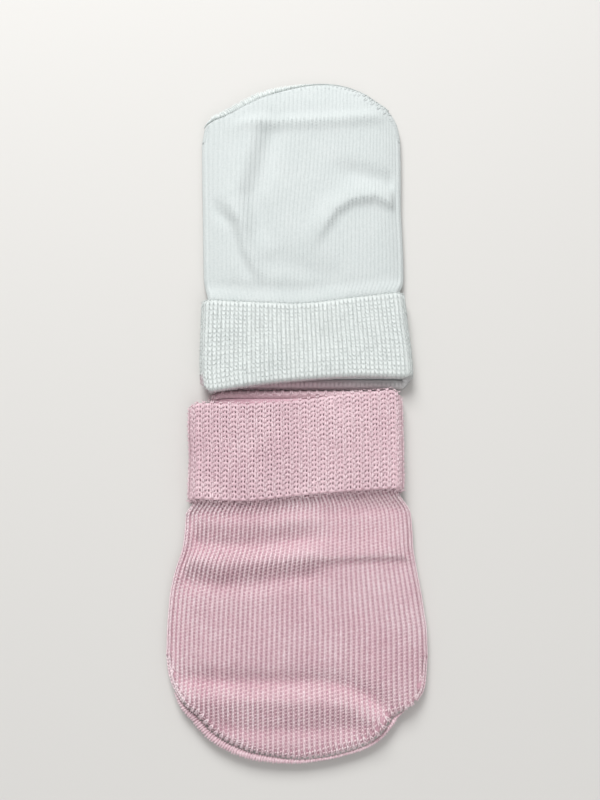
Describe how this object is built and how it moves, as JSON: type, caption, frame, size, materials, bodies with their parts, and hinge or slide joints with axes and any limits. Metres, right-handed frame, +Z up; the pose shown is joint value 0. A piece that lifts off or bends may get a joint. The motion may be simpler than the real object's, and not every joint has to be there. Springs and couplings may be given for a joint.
{
  "type": "pair of baby mittens",
  "caption": "Flat-laid knitted baby mittens, white and pink, with fine ribs, rounded seamed tips and turned-back cuffs that meet in the middle.",
  "frame": {"origin": "middle of the pair's box on the surface that the mittens lie on", "axes": "+X across the mittens, +Y from the pink mitten to the white one along their length, +Z up out of the surface"},
  "size_m": [0.074, 0.2138, 0.0076],
  "materials": {
    "white_knit": "fine cotton rib knit, matt, cool white",
    "white_cuff_knit": "reverse of the cotton knit with small slits, matt, cool white",
    "white_seam": "cotton stitches, matt, cool white",
    "pink_knit": "fine cotton rib knit, matt, dusty pink",
    "pink_cuff_knit": "reverse of the cotton knit with small slits, matt, dusty pink",
    "pink_seam": "cotton stitches, matt, dusty pink"
  },
  "bodies": {
    "root": {"white_hand": "white_knit", "white_cuff": "white_cuff_knit", "white_tip_seam": "white_seam", "pink_hand": "pink_knit", "pink_cuff": "pink_cuff_knit", "pink_tip_seam": "pink_seam"}
  },
  "joints": []
}
